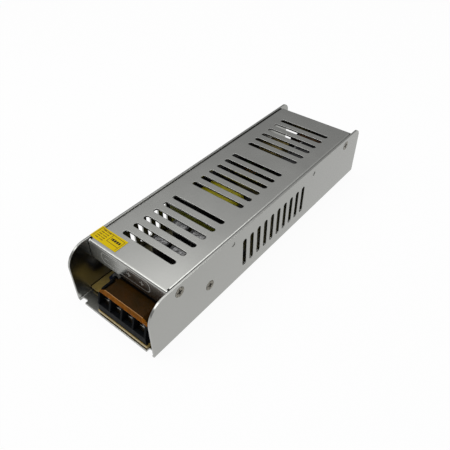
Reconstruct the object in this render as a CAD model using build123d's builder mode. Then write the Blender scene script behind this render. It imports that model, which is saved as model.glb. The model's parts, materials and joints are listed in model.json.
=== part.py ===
"""Slim enclosed power supply: perforated sheet-metal case, board and screw terminals.

X runs across the case, Y from the output end (-Y) to the input end (+Y), Z up.
The origin is under the middle of the base plate. Sizes are in millimetres.
"""

import os

from build123d import *

os.makedirs("parts", exist_ok=True)

# Case envelope
case_length = 200.0
case_width = 59.0
case_height = 36.0

# Chassis: one folded sheet with a base and two side walls
chassis_sheet = 1.2
chassis_bend = 0.4
wall_front_round = 12.0
wall_rear_round = 6.0
vent_pitch = 6.5
vent_length = 19.6
vent_width = 3.3
vent_height = 17.5
right_vent_count = 10
right_vents_from_middle = 0.5
left_vent_count = 6
left_vents_from_front = 58.3
notch_width = 4.3
notch_depth = 2.2
notch_from_side = 3.85
notch_round = 0.8
base_hole_radius = 1.25
base_hole_span_x = 40.0
base_hole_span_y = 110.0

# Cover: one folded sheet that nests between the side walls
cover_sheet = 1.0
cover_bend = 0.4
cover_drop = 0.45
cover_side_gap = 0.15
cover_front_setback = 13.9
cover_rear_setback = 8.8
cover_lip = 12.3
cover_lip_gap = 0.45
cover_side_flange = 9.6
cover_corner_relief = 1.2
slot_length = 36.8
slot_width = 3.3
slot_pitch = 7.47
slots_in_group = 6
slot_groups = 3
group_pitch = 54.15

# Paper sticker on the front left corner of the cover
sticker_thickness = 0.15
sticker_from_front = 16.5
sticker_length = 8.9
sticker_width = 19.4

# Screws through the side walls
wall_screw_radius = 1.45
wall_head_radius = 2.9
wall_hole_gap = 0.1
wall_head_gap = 0.22
wall_screw_length = 4.6
cover_screw_drop = 5.05
cover_screw_from_front = 20.7
cover_screw_from_rear = 18.6
thread_collar = 1.4
thread_collar_wall = 0.9
dimple_radius = 1.4
dimple_depth = 0.35
dimple_gap = 0.3
dimples_from_front = (61.3, 141.2)
bar_screw_height = 16.3
output_bar_screw_from_front = 42.0
switch_bar_screw_from_middle = 23.5
recess_arm = 3.4
recess_slot = 0.8
recess_depth = 0.7

# Circuit board on four press-in standoffs
board_thickness = 1.6
board_lift = 1.2
board_side_gap = 0.45
board_end_setback = 8.7
tongue_end_setback = 0.5
tongue_margin = 0.5
insulation_thickness = 0.3
insulation_side_gap = 0.9
insulation_end_setback = 12.0
insulation_hole_gap = 0.6
standoff_radius = 3.0
standoff_shank_radius = 2.1
standoff_hole_gap = 0.05
board_screw_radius = 1.25
board_screw_gap = 0.05
board_head_radius = 2.7
board_head_height = 1.9
board_screw_tip = 0.4
standoff_from_side = 5.6
standoff_from_front = 27.5
standoff_from_rear = 13.5
lead_radius = 0.4
lead_hole_gap = 0.1
lead_tail = 0.5

# Barrier terminal blocks
terminal_pitch = 8.5
output_ways = 4
input_ways = 3
block_end_wall = 1.2
block_divider = 1.2
block_depth = 17.3
block_end_setback = 1.7
ledge_reach = 0.8
ledge_height = 5.6
divider_height = 13.9
end_wall_height = 13.5
rear_body_start = 10.1
rear_body_height = 10.5
output_block_from_right = 5.0
input_block_from_left = 13.6
contact_thickness = 0.8
contact_width = 6.4
contact_front = 1.4
contact_leg_width = 3.0
contact_leg_gap = 0.1
clamp_thickness = 1.0
clamp_width = 6.9
clamp_length = 6.4
screw_depth = 6.0
terminal_screw_radius = 1.5
terminal_head_radius = 2.9
terminal_head_height = 2.2
terminal_screw_gap = 0.1
terminal_screw_reach = 2.2
screw_well_radius = 2.2
screw_well_depth = 3.0

# Flip covers over the terminals
flap_wall = 1.1
flap_top = 15.4
flap_lip_bottom = 12.6
flap_lip_front = 1.7
flap_fold = 2.8
flap_end_bevel = 2.6
flap_side_gap = 0.3
hinge_depth = 12.0
hinge_height = 13.2
hinge_barrel_radius = 1.6
hinge_pin_radius = 0.8
hinge_pin_gap = 0.06
hinge_ear_radius = 1.7

# Main transformer
core_length = 26.0
core_width = 40.0
core_stack = 16.0
core_leg = 6.4
core_centre_leg = 12.0
core_back = 5.0
former_wall = 1.0
former_gap = 0.15
former_rail_height = 4.0
winding_height = 23.4
winding_round = 4.0
transformer_from_left = 21.6
transformer_from_middle = -6.0

# Capacitors
output_can_radius = 5.3
output_can_height = 25.0
output_can_pitch_x = 13.0
output_can_pitch_y = 15.5
output_cans_from_front = 49.15
output_cans_from_right = 25.3
bulk_can_radius = 11.0
bulk_can_from_right = 22.8
bulk_can_from_middle = 34.0
bulk_can_from_rear = 24.0
sleeve_thickness = 0.3
sleeve_fold = 1.3
can_crimp = 0.5
vent_score = 0.4
film_height = 16.0
film_from_left = 4.3
film_from_rear = 24.5
film_can_gap = 4.0
film_choke_gap = 1.2

# Chokes
choke_core_radius = 4.6
choke_core_bore = 2.8
choke_core_height = 7.0
choke_wire = 0.9
choke_pitch = 16.0
chokes_from_front = 29.0
line_bore_share = 0.55
line_core_height = 8.0
line_wire = 1.0
winding_opening = 2.0
line_choke_gap = 1.5
line_choke_from_middle = 36.5

# Power semiconductors clamped to the side walls
bar_thickness = 3.0
bar_bottom = 8.0
bar_cover_gap = 3.3
output_bar_length = 32.0
switch_bar_length = 28.0
pad_thickness = 0.3
pad_margin = 0.5
device_tab = 1.3
device_thickness = 4.5
device_width = 10.0
device_screw_drop = 3.0
device_screw_radius = 1.4
device_head_radius = 2.4
device_head_height = 1.8
device_pitch = 16.0
device_screw_gap = 0.1
device_lead_pitch = 2.54
device_setoff = 1.0

# Small parts on the board
bridge_thickness = 3.6
bridge_width = 20.0
bridge_height = 18.0
bridge_lift = 2.0
bridge_from_right = 6.8
bridge_from_rear = 50.0
bridge_lead_pitch = 5.0
bridge_lead_count = 4
disc_radius = 5.0
disc_thickness = 4.0
disc_lift = 1.5
disc_lead_pitch = 5.0
thermistor_from_rear = 68.0
thermistor_from_right = 6.8
safety_from_right = 20.0
safety_from_middle = 14.0
safety_pitch = 12.0
safety_count = 2
fuse_radius = 2.6
fuse_length = 16.0
fuse_cap = 4.0
fuse_from_right = 7.0
fuse_from_rear = 27.0
chip_length = 10.0
chip_width = 6.4
chip_height = 3.4
chip_pins_per_side = 4
chip_lift = 0.5
chip_from_left = 20.0
chip_from_middle = 22.0
coupler_length = 6.5
coupler_width = 4.6
coupler_pins_per_side = 2
coupler_from_right = 8.0
coupler_from_front = 78.0
barrier_thickness = 0.5
barrier_height = 20.0
barrier_side_gap = 3.4
barrier_from_front = 70.0
pot_size = 6.8
pot_height = 4.6
pot_share_from_left = 0.6
pot_from_front = 19.8
rotor_radius = 2.4
rotor_height = 0.8
rotor_stem_radius = 1.2
rotor_stem = 2.0
rotor_gap = 0.05

# Heights and faces worked out from the sizes above
front = -case_length / 2
rear = case_length / 2
wall_height = case_height - sticker_thickness
inner_half = case_width / 2 - chassis_sheet
cover_half = inner_half - cover_side_gap
cover_top = wall_height - cover_drop
cover_front = front + cover_front_setback
cover_rear = rear - cover_rear_setback
cover_middle = (cover_front + cover_rear) / 2
cover_outer_bend = cover_bend + cover_sheet
cover_screw_z = wall_height - cover_screw_drop
board_bottom = chassis_sheet + board_lift
board_top = board_bottom + board_thickness
board_half = inner_half - board_side_gap
lead_end = board_bottom - lead_tail


def block_half(ways):
    """Half the width of a terminal block with this many bays."""
    return (ways * terminal_pitch + block_end_wall) / 2


output_block_x = inner_half - output_block_from_right - block_half(output_ways)
input_block_x = -inner_half + input_block_from_left + block_half(input_ways)
output_seat = Plane(
    origin=(output_block_x, front + block_end_setback, board_top),
    x_dir=(1, 0, 0),
    z_dir=(0, 0, 1),
)
input_seat = Plane(
    origin=(input_block_x, rear - block_end_setback, board_top),
    x_dir=(-1, 0, 0),
    z_dir=(0, 0, 1),
)
transformer_x = -inner_half + transformer_from_left
core_bottom = board_top + former_rail_height
core_middle = core_bottom + core_stack / 2
former_length = core_length - 2 * core_back
output_cans_x = inner_half - output_cans_from_right
output_cans_y = front + output_cans_from_front
bulk_can_x = inner_half - bulk_can_from_right
bulk_can_z = board_top + bulk_can_radius + sleeve_thickness
bulk_can_rear = rear - bulk_can_from_rear
bulk_can_length = bulk_can_rear - bulk_can_from_middle
filter_width = bulk_can_x - bulk_can_radius + inner_half
filter_length = rear - film_from_rear - line_choke_from_middle
line_choke_width = filter_width - 2 * line_choke_gap
film_width = filter_width - film_from_left - film_can_gap
film_length = filter_length - line_choke_width - film_choke_gap
choke_core_z = board_top + choke_wire
line_core_radius = line_choke_width / 2 - line_wire
line_core_bore = line_core_radius * line_bore_share
line_choke_x = -inner_half + filter_width / 2
line_choke_y = line_choke_from_middle + line_choke_width / 2
line_core_z = board_top + line_wire
bar_height = cover_top - cover_side_flange - bar_cover_gap - bar_bottom
device_screw_height = bar_height - device_screw_drop
device_body_height = device_screw_height - device_head_radius - device_screw_gap
output_bar_y = front + output_bar_screw_from_front
device_face = inner_half - bar_thickness - pad_thickness
bridge_x = inner_half - bridge_from_right
bridge_y = rear - bridge_from_rear
thermistor_spot = (inner_half - thermistor_from_right, rear - thermistor_from_rear)
safety_spots = [
    (inner_half - safety_from_right, safety_from_middle + row * safety_pitch)
    for row in range(safety_count)
]
pot_space = output_block_x - block_half(output_ways) + inner_half
pot_x = -inner_half + pot_space * pot_share_from_left
pot_y = front + pot_from_front
pot_top = board_top + pot_height
standoff_spots = [
    (side * (inner_half - standoff_from_side), y)
    for side in (-1, 1)
    for y in (front + standoff_from_front, rear - standoff_from_rear)
]


def wall_face(side):
    """Plane on the outside of one side wall, x along the case and y up."""
    return Plane(origin=(side * case_width / 2, 0, 0), x_dir=(0, side, 0), z_dir=(side, 0, 0))


def wall_spot(side, y, z):
    """Place on the outside of one side wall, facing out."""
    return wall_face(side).location * Location((side * y, z, 0))


def side_plane(seat, across):
    """Upright plane through a terminal block: x is the depth, y the height."""
    return Plane(origin=seat.origin + seat.x_dir * across, x_dir=seat.y_dir, z_dir=seat.x_dir)


def bay_offsets(ways):
    """Middle of each bay of a terminal block, along the row."""
    return [(way - (ways - 1) / 2) * terminal_pitch for way in range(ways)]


cover_screw_spots = [
    wall_spot(side, y, cover_screw_z)
    for side in (-1, 1)
    for y in (front + cover_screw_from_front, rear - cover_screw_from_rear)
]
bar_screw_spots = [
    wall_spot(1, output_bar_y, bar_screw_height),
    wall_spot(-1, switch_bar_screw_from_middle, bar_screw_height),
]
dimple_spots = [
    wall_spot(side, front + y, cover_screw_z) for side in (-1, 1) for y in dimples_from_front
]


# Lead holes of every part that is soldered through the board
def device_leads(side, middle_y):
    """Lead places of the two clamped devices on one wall."""
    lead_x = side * (device_face - device_setoff)
    rows = [middle_y - device_pitch / 2, middle_y + device_pitch / 2]
    return [(lead_x, row + step * device_lead_pitch) for row in rows for step in (-1, 0, 1)]


def disc_leads(spot):
    """Lead places of one upright disc."""
    return [(spot[0], spot[1] + step * disc_lead_pitch / 2) for step in (-1, 1)]


bridge_leads = [
    (bridge_x, bridge_y + (step - (bridge_lead_count - 1) / 2) * bridge_lead_pitch)
    for step in range(bridge_lead_count)
]
output_leads = device_leads(1, output_bar_y)
switch_leads = device_leads(-1, switch_bar_screw_from_middle)
lead_spots = bridge_leads + output_leads + switch_leads
for disc_spot in [thermistor_spot, *safety_spots]:
    lead_spots += disc_leads(disc_spot)


def axial_plane(base):
    """Plane through the axis of a turned piece: x is the radius, y the height."""
    return Plane(origin=base.origin, x_dir=base.x_dir, z_dir=-base.y_dir)


def on_board(seat, across, depth):
    """Place on the board under a terminal block."""
    point = seat.origin + seat.x_dir * across + seat.y_dir * depth
    return (point.X, point.Y)


def inward(spots, depth):
    """The same places, moved into the case from the outside of the wall."""
    return [spot * Location((0, 0, -depth)) for spot in spots]


contact_leg_depth = rear_body_start - contact_thickness
leg_spots = [
    on_board(seat, across, contact_leg_depth + contact_thickness / 2)
    for seat, ways in ((output_seat, output_ways), (input_seat, input_ways))
    for across in bay_offsets(ways)
]


# Chassis: base plate and side walls folded from one sheet
with BuildPart() as base_chassis:
    with BuildSketch(Plane.XZ):
        with BuildLine():
            FilletPolyline(
                (-inner_half, wall_height),
                (-inner_half, chassis_sheet),
                (inner_half, chassis_sheet),
                (inner_half, wall_height),
                radius=chassis_bend,
            )
            offset(amount=chassis_sheet, side=Side.RIGHT)
        make_face()
    extrude(amount=case_length / 2, both=True)
    wall_tops = base_chassis.edges().filter_by(Axis.X).group_by(Axis.Z)[-1]
    fillet(wall_tops.group_by(Axis.Y)[0], wall_front_round)
    wall_tops = base_chassis.edges().filter_by(Axis.X).group_by(Axis.Z)[-1]
    fillet(wall_tops.group_by(Axis.Y)[-1], wall_rear_round)
    for side, middle_y, count in (
        (1, right_vents_from_middle, right_vent_count),
        (-1, front + left_vents_from_front, left_vent_count),
    ):
        with BuildSketch(wall_face(side)):
            with Locations((side * middle_y, vent_height)):
                with GridLocations(vent_pitch, 0, count, 1):
                    SlotOverall(vent_length, vent_width, rotation=90)
        extrude(amount=-chassis_sheet, mode=Mode.SUBTRACT)
    with BuildSketch(Plane.XY):
        with GridLocations(case_width - 2 * notch_from_side, case_length, 2, 2):
            RectangleRounded(notch_width, 2 * notch_depth, notch_round)
        with GridLocations(base_hole_span_x, base_hole_span_y, 2, 2):
            Circle(base_hole_radius)
        with Locations(*standoff_spots):
            Circle(standoff_shank_radius + standoff_hole_gap)
    extrude(amount=chassis_sheet, mode=Mode.SUBTRACT)
    with Locations(*cover_screw_spots, *bar_screw_spots):
        Cone(
            wall_screw_radius + wall_hole_gap,
            wall_head_radius + wall_head_gap,
            chassis_sheet,
            align=(Align.CENTER, Align.CENTER, Align.MAX),
            mode=Mode.SUBTRACT,
        )
    with Locations(*dimple_spots):
        Cylinder(
            dimple_radius,
            dimple_depth,
            align=(Align.CENTER, Align.CENTER, Align.MAX),
            mode=Mode.SUBTRACT,
        )
    with Locations(*inward(dimple_spots, chassis_sheet)):
        Cylinder(dimple_radius, dimple_depth, align=(Align.CENTER, Align.CENTER, Align.MAX))
base_chassis.part.label = "base_chassis"
export_step(base_chassis.part, "parts/base_chassis.step")


# Cover: end lips and side flanges fold down from the slotted top
with BuildPart() as top_cover:
    with BuildSketch(Plane.YZ):
        with BuildLine():
            FilletPolyline(
                (cover_front + cover_sheet, cover_top - cover_lip),
                (cover_front + cover_sheet, cover_top - cover_sheet),
                (cover_rear - cover_sheet, cover_top - cover_sheet),
                (cover_rear - cover_sheet, cover_top - cover_lip),
                radius=cover_bend,
            )
            offset(amount=cover_sheet, side=Side.LEFT)
        make_face()
    extrude(amount=inner_half - cover_lip_gap, both=True)
    top_length = cover_rear - cover_front - 2 * cover_outer_bend
    with BuildSketch(Plane.XY.offset(cover_top)):
        for side in (-1, 1):
            with Locations((side * cover_half, cover_middle)):
                Rectangle(2 * cover_outer_bend, top_length)
    extrude(amount=-cover_lip, mode=Mode.SUBTRACT)
    with BuildSketch(Plane.XZ.offset(-cover_middle)):
        with BuildLine():
            FilletPolyline(
                (-cover_half + cover_sheet, cover_top - cover_side_flange),
                (-cover_half + cover_sheet, cover_top - cover_sheet),
                (cover_half - cover_sheet, cover_top - cover_sheet),
                (cover_half - cover_sheet, cover_top - cover_side_flange),
                radius=cover_bend,
            )
            offset(amount=cover_sheet, side=Side.LEFT)
        make_face()
    extrude(amount=top_length / 2 - cover_corner_relief, both=True)
    with BuildSketch(Plane.XY.offset(cover_top)):
        with Locations((0, cover_middle)):
            with GridLocations(0, group_pitch, 1, slot_groups):
                with GridLocations(0, slot_pitch, 1, slots_in_group):
                    SlotOverall(slot_length, slot_width)
    extrude(amount=-cover_sheet, mode=Mode.SUBTRACT)
    flange_depth = chassis_sheet + cover_side_gap
    with Locations(*inward(cover_screw_spots, flange_depth + cover_sheet)):
        Cylinder(
            wall_screw_radius + thread_collar_wall,
            thread_collar,
            align=(Align.CENTER, Align.CENTER, Align.MAX),
        )
    with Locations(*inward(cover_screw_spots, flange_depth)):
        Cylinder(
            wall_screw_radius + wall_hole_gap,
            cover_sheet + thread_collar,
            align=(Align.CENTER, Align.CENTER, Align.MAX),
            mode=Mode.SUBTRACT,
        )
    with Locations(*inward(dimple_spots, flange_depth)):
        Cylinder(
            dimple_radius + dimple_gap,
            cover_sheet,
            align=(Align.CENTER, Align.CENTER, Align.MAX),
            mode=Mode.SUBTRACT,
        )
top_cover.part.label = "top_cover"
export_step(top_cover.part, "parts/top_cover.step")


# Sticker: lies on the wall top, bridges the groove and lies on the cover
with BuildPart() as front_sticker:
    bend_start = -cover_half + cover_outer_bend
    with BuildSketch(Plane.XZ.offset(-(front + sticker_from_front))):
        with BuildLine():
            Polyline(
                (-case_width / 2, wall_height),
                (-inner_half, wall_height),
                (bend_start, cover_top),
                (sticker_width - case_width / 2, cover_top),
                (sticker_width - case_width / 2, cover_top + sticker_thickness),
                (bend_start, cover_top + sticker_thickness),
                (-inner_half, wall_height + sticker_thickness),
                (-case_width / 2, wall_height + sticker_thickness),
                close=True,
            )
        make_face()
    extrude(amount=-sticker_length)
front_sticker.part.label = "front_sticker"
export_step(front_sticker.part, "parts/front_sticker.step")


def wall_screws(spots):
    """Flat-head screws with a cross recess, seated in the wall."""
    with BuildPart() as screws:
        with Locations(*spots):
            Cone(
                wall_screw_radius,
                wall_head_radius,
                chassis_sheet,
                align=(Align.CENTER, Align.CENTER, Align.MAX),
            )
            Cylinder(
                wall_screw_radius,
                wall_screw_length,
                align=(Align.CENTER, Align.CENTER, Align.MAX),
            )
            for arm in ((recess_arm, recess_slot), (recess_slot, recess_arm)):
                Box(
                    *arm,
                    recess_depth,
                    align=(Align.CENTER, Align.CENTER, Align.MAX),
                    mode=Mode.SUBTRACT,
                )
    return screws


cover_screws = wall_screws(cover_screw_spots)
cover_screws.part.label = "cover_screws"
export_step(cover_screws.part, "parts/cover_screws.step")

heat_bar_screws = wall_screws(bar_screw_spots)
heat_bar_screws.part.label = "heat_bar_screws"
export_step(heat_bar_screws.part, "parts/heat_bar_screws.step")


# Insulating sheet between the base plate and the board
with BuildPart() as insulating_sheet:
    with BuildSketch(Plane.XY.offset(chassis_sheet)):
        Rectangle(
            2 * (inner_half - insulation_side_gap),
            case_length - 2 * insulation_end_setback,
        )
        with Locations(*standoff_spots):
            Circle(standoff_radius + standoff_hole_gap, mode=Mode.SUBTRACT)
        with GridLocations(base_hole_span_x, base_hole_span_y, 2, 2):
            Circle(base_hole_radius + insulation_hole_gap, mode=Mode.SUBTRACT)
    extrude(amount=insulation_thickness)
insulating_sheet.part.label = "insulating_sheet"
export_step(insulating_sheet.part, "parts/insulating_sheet.step")


# Threaded standoffs pressed into the base plate
with BuildPart() as board_standoffs:
    with BuildSketch(Plane.XY):
        with Locations(*standoff_spots):
            Circle(standoff_shank_radius)
    extrude(amount=chassis_sheet)
    with BuildSketch(Plane.XY.offset(chassis_sheet)):
        with Locations(*standoff_spots):
            Circle(standoff_radius)
    extrude(amount=board_lift)
    with BuildSketch(Plane.XY):
        with Locations(*standoff_spots):
            Circle(board_screw_radius + board_screw_gap)
    extrude(amount=board_bottom, mode=Mode.SUBTRACT)
board_standoffs.part.label = "board_standoffs"
export_step(board_standoffs.part, "parts/board_standoffs.step")


# Pan-head screws that hold the board
with BuildPart() as board_screws:
    with BuildSketch(Plane.XY.offset(board_screw_tip)):
        with Locations(*standoff_spots):
            Circle(board_screw_radius)
    extrude(amount=board_top - board_screw_tip)
    with BuildSketch(Plane.XY.offset(board_top)):
        with Locations(*standoff_spots):
            Circle(board_head_radius)
    extrude(amount=board_head_height)
    with BuildSketch(Plane.XY.offset(board_top + board_head_height)):
        with Locations(*standoff_spots):
            Rectangle(recess_arm, recess_slot)
            Rectangle(recess_slot, recess_arm)
    extrude(amount=-recess_depth, mode=Mode.SUBTRACT)
board_screws.part.label = "board_screws"
export_step(board_screws.part, "parts/board_screws.step")


# Circuit board with a tongue under each terminal block
tongue_reach = board_end_setback - tongue_end_setback
tongue_middle = case_length / 2 - tongue_end_setback - tongue_reach / 2
with BuildPart() as circuit_board:
    with BuildSketch(Plane.XY.offset(board_bottom)):
        Rectangle(2 * board_half, case_length - 2 * board_end_setback)
        for tongue_x, ways, end in (
            (output_block_x, output_ways, -1),
            (input_block_x, input_ways, 1),
        ):
            with Locations((tongue_x, end * tongue_middle)):
                Rectangle(2 * (block_half(ways) + tongue_margin), tongue_reach)
        with Locations(*standoff_spots):
            Circle(board_screw_radius + board_screw_gap, mode=Mode.SUBTRACT)
        with Locations(*lead_spots):
            Circle(lead_radius + lead_hole_gap, mode=Mode.SUBTRACT)
        with Locations(*leg_spots):
            Rectangle(
                contact_leg_width + 2 * contact_leg_gap,
                contact_thickness + 2 * contact_leg_gap,
                mode=Mode.SUBTRACT,
            )
    extrude(amount=board_thickness)
circuit_board.part.label = "circuit_board"
export_step(circuit_board.part, "parts/circuit_board.step")


def terminal_block(seat, ways):
    """Barrier block: ledge, contact floor, dividers, end walls and a raised back."""
    half = block_half(ways)
    inner = half - block_end_wall
    with BuildPart() as block:
        with BuildSketch(side_plane(seat, -half)):
            with BuildLine():
                Polyline(
                    (-ledge_reach, 0),
                    (-ledge_reach, ledge_height),
                    (rear_body_start, ledge_height),
                    (rear_body_start, rear_body_height),
                    (block_depth, rear_body_height),
                    (block_depth, 0),
                    close=True,
                )
            make_face()
        extrude(amount=2 * half)
        lean_front = flap_lip_front - 2 * flap_side_gap
        rebate = flap_fold + flap_wall
        for across in [(way - ways / 2) * terminal_pitch for way in range(1, ways)]:
            with BuildSketch(side_plane(seat, across - block_divider / 2)):
                with BuildLine():
                    Polyline(
                        (-ledge_reach, 0),
                        (-ledge_reach, ledge_height),
                        (lean_front, flap_lip_bottom - 2 * flap_side_gap),
                        (rebate - flap_wall, flap_lip_bottom - flap_side_gap),
                        (rebate + flap_side_gap, divider_height),
                        (rear_body_start, divider_height),
                        (rear_body_start, 0),
                        close=True,
                    )
                make_face()
            extrude(amount=block_divider)
        for across in (-half, inner):
            with BuildSketch(side_plane(seat, across)):
                with BuildLine():
                    Polyline(
                        (-ledge_reach, 0),
                        (-ledge_reach, ledge_height),
                        (lean_front, flap_lip_bottom - 2 * flap_side_gap),
                        (rebate - flap_wall, flap_lip_bottom - flap_side_gap),
                        (rebate, end_wall_height),
                        (hinge_depth, end_wall_height),
                        (hinge_depth + hinge_ear_radius, hinge_height),
                        (hinge_depth + hinge_ear_radius, rear_body_height),
                        (block_depth, rear_body_height),
                        (block_depth, 0),
                        close=True,
                    )
                make_face()
                with Locations((hinge_depth, hinge_height)):
                    Circle(hinge_ear_radius)
                    Circle(hinge_pin_radius + hinge_pin_gap, mode=Mode.SUBTRACT)
            extrude(amount=block_end_wall)
        bays = [(across, screw_depth) for across in bay_offsets(ways)]
        legs = [
            (across, contact_leg_depth + contact_thickness / 2) for across in bay_offsets(ways)
        ]
        with BuildSketch(seat.offset(ledge_height)):
            with Locations(*bays):
                Circle(screw_well_radius)
        extrude(amount=-screw_well_depth, mode=Mode.SUBTRACT)
        with BuildSketch(seat):
            with Locations(*legs):
                Rectangle(
                    contact_leg_width + 2 * contact_leg_gap,
                    contact_thickness + 2 * contact_leg_gap,
                )
        extrude(amount=ledge_height, mode=Mode.SUBTRACT)
    return block


def contact_bars(seat, ways):
    """Flat contact under each screw, with a leg down through the board."""
    length = rear_body_start - contact_front
    with BuildPart() as bars:
        for across in bay_offsets(ways):
            with BuildSketch(seat.offset(ledge_height)):
                with Locations((across, contact_front + length / 2)):
                    Rectangle(contact_width, length)
                with Locations((across, screw_depth)):
                    Circle(terminal_screw_radius + terminal_screw_gap, mode=Mode.SUBTRACT)
            extrude(amount=contact_thickness)
            with BuildSketch(seat.offset(ledge_height)):
                with Locations((across, contact_leg_depth + contact_thickness / 2)):
                    Rectangle(contact_leg_width, contact_thickness)
            extrude(amount=-(ledge_height + board_thickness + lead_tail))
    return bars


def clamp_plates(seat, ways):
    """Square clamp plate under each screw head."""
    with BuildPart() as plates:
        with BuildSketch(seat.offset(ledge_height + contact_thickness)):
            for across in bay_offsets(ways):
                with Locations((across, screw_depth)):
                    Rectangle(clamp_width, clamp_length)
                    Circle(terminal_screw_radius + terminal_screw_gap, mode=Mode.SUBTRACT)
        extrude(amount=clamp_thickness)
        rims = plates.faces().sort_by(Axis.Z)[-ways:]
        chamfer([edge for rim in rims for edge in rim.outer_wire().edges()], clamp_thickness / 4)
    return plates


def terminal_screws(seat, ways):
    """Pan-head terminal screws with a cross recess."""
    head_seat = ledge_height + contact_thickness + clamp_thickness
    places = [(across, screw_depth) for across in bay_offsets(ways)]
    with BuildPart() as screws:
        with BuildSketch(seat.offset(ledge_height - terminal_screw_reach)):
            with Locations(*places):
                Circle(terminal_screw_radius)
        extrude(amount=head_seat - ledge_height + terminal_screw_reach)
        with BuildSketch(seat.offset(head_seat)):
            with Locations(*places):
                Circle(terminal_head_radius)
        extrude(amount=terminal_head_height)
        crowns = screws.faces().sort_by(Axis.Z)[-ways:]
        chamfer([edge for crown in crowns for edge in crown.edges()], terminal_head_height / 4)
        with BuildSketch(seat.offset(head_seat + terminal_head_height)):
            with Locations(*places):
                Rectangle(recess_arm, recess_slot)
                Rectangle(recess_slot, recess_arm)
        extrude(amount=-recess_depth, mode=Mode.SUBTRACT)
    return screws


def bevelled_prism(seat, half, bevel, outline):
    """Side outline of the flap drawn across the block, with bevelled ends."""
    low = flap_lip_bottom
    with BuildPart() as prism:
        with BuildSketch(side_plane(seat, -half)):
            with BuildLine():
                Polyline(*outline, close=True)
            make_face()
        extrude(amount=2 * half)
        with BuildSketch(Plane(origin=seat.origin, x_dir=seat.x_dir, z_dir=-seat.y_dir)):
            with BuildLine():
                Polyline(
                    (-half, low - flap_top),
                    (-half, low),
                    (-half + bevel, flap_top),
                    (half - bevel, flap_top),
                    (half, low),
                    (half, low - flap_top),
                    close=True,
                )
            make_face()
        extrude(amount=-2 * block_depth, mode=Mode.INTERSECT)
    return prism.part


def flip_cover(seat, ways):
    """Clear lid between the end walls, turning on two pins behind the screws."""
    lip_half = block_half(ways)
    half = lip_half - block_end_wall - flap_side_gap
    barrel_front = hinge_depth - hinge_barrel_radius
    barrel_rear = hinge_depth + hinge_barrel_radius
    underside = flap_top - flap_wall
    shell = bevelled_prism(
        seat,
        half,
        flap_end_bevel,
        [
            (flap_lip_front, flap_lip_bottom),
            (flap_fold, flap_top),
            (barrel_rear - flap_wall, flap_top),
            (barrel_rear, underside),
            (barrel_rear, hinge_height),
            (barrel_front, hinge_height),
            (barrel_front, flap_lip_bottom),
        ],
    )
    lip = bevelled_prism(
        seat,
        lip_half,
        lip_half - half + flap_end_bevel,
        [
            (flap_lip_front, flap_lip_bottom),
            (flap_fold, flap_top),
            (flap_fold + flap_wall, flap_top),
            (flap_lip_front + flap_wall, flap_lip_bottom),
        ],
    )
    hollow = bevelled_prism(
        seat,
        half - flap_wall,
        flap_end_bevel,
        [
            (flap_lip_front + flap_wall, flap_lip_bottom),
            (flap_fold + flap_wall, underside),
            (barrel_front, underside),
            (barrel_front, flap_lip_bottom),
        ],
    )
    with BuildPart() as lid:
        add(shell)
        add(hollow, mode=Mode.SUBTRACT)
        add(lip)
        with BuildSketch(side_plane(seat, -half + flap_end_bevel)):
            with Locations((hinge_depth, hinge_height)):
                Circle(hinge_barrel_radius)
        extrude(amount=2 * (half - flap_end_bevel))
        pin_end = lip_half - hinge_pin_gap
        with BuildSketch(side_plane(seat, -pin_end)):
            with Locations((hinge_depth, hinge_height)):
                Circle(hinge_pin_radius)
        extrude(amount=2 * pin_end)
    return lid


output_terminal_block = terminal_block(output_seat, output_ways)
output_terminal_block.part.label = "output_terminal_block"
export_step(output_terminal_block.part, "parts/output_terminal_block.step")

input_terminal_block = terminal_block(input_seat, input_ways)
input_terminal_block.part.label = "input_terminal_block"
export_step(input_terminal_block.part, "parts/input_terminal_block.step")

output_contact_bars = contact_bars(output_seat, output_ways)
output_contact_bars.part.label = "output_contact_bars"
export_step(output_contact_bars.part, "parts/output_contact_bars.step")

input_contact_bars = contact_bars(input_seat, input_ways)
input_contact_bars.part.label = "input_contact_bars"
export_step(input_contact_bars.part, "parts/input_contact_bars.step")

output_clamp_plates = clamp_plates(output_seat, output_ways)
output_clamp_plates.part.label = "output_clamp_plates"
export_step(output_clamp_plates.part, "parts/output_clamp_plates.step")

input_clamp_plates = clamp_plates(input_seat, input_ways)
input_clamp_plates.part.label = "input_clamp_plates"
export_step(input_clamp_plates.part, "parts/input_clamp_plates.step")

output_terminal_screws = terminal_screws(output_seat, output_ways)
output_terminal_screws.part.label = "output_terminal_screws"
export_step(output_terminal_screws.part, "parts/output_terminal_screws.step")

input_terminal_screws = terminal_screws(input_seat, input_ways)
input_terminal_screws.part.label = "input_terminal_screws"
export_step(input_terminal_screws.part, "parts/input_terminal_screws.step")

output_flip_cover = flip_cover(output_seat, output_ways)
output_flip_cover.part.label = "output_flip_cover"
export_step(output_flip_cover.part, "parts/output_flip_cover.step")

input_flip_cover = flip_cover(input_seat, input_ways)
input_flip_cover.part.label = "input_flip_cover"
export_step(input_flip_cover.part, "parts/input_flip_cover.step")


# Transformer: ferrite frame lying flat, former around its middle leg, taped winding
transformer_seat = Plane(origin=(transformer_x, transformer_from_middle, core_bottom), z_dir=(0, 0, 1))
window_width = (core_width - 2 * core_leg - core_centre_leg) / 2
window_middle = (core_centre_leg + window_width) / 2
with BuildPart() as transformer_core:
    with BuildSketch(transformer_seat):
        RectangleRounded(core_width, core_length, former_wall)
        with GridLocations(2 * window_middle, 0, 2, 1):
            Rectangle(window_width, former_length, mode=Mode.SUBTRACT)
    extrude(amount=core_stack)
transformer_core.part.label = "transformer_core"
export_step(transformer_core.part, "parts/transformer_core.step")

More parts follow.
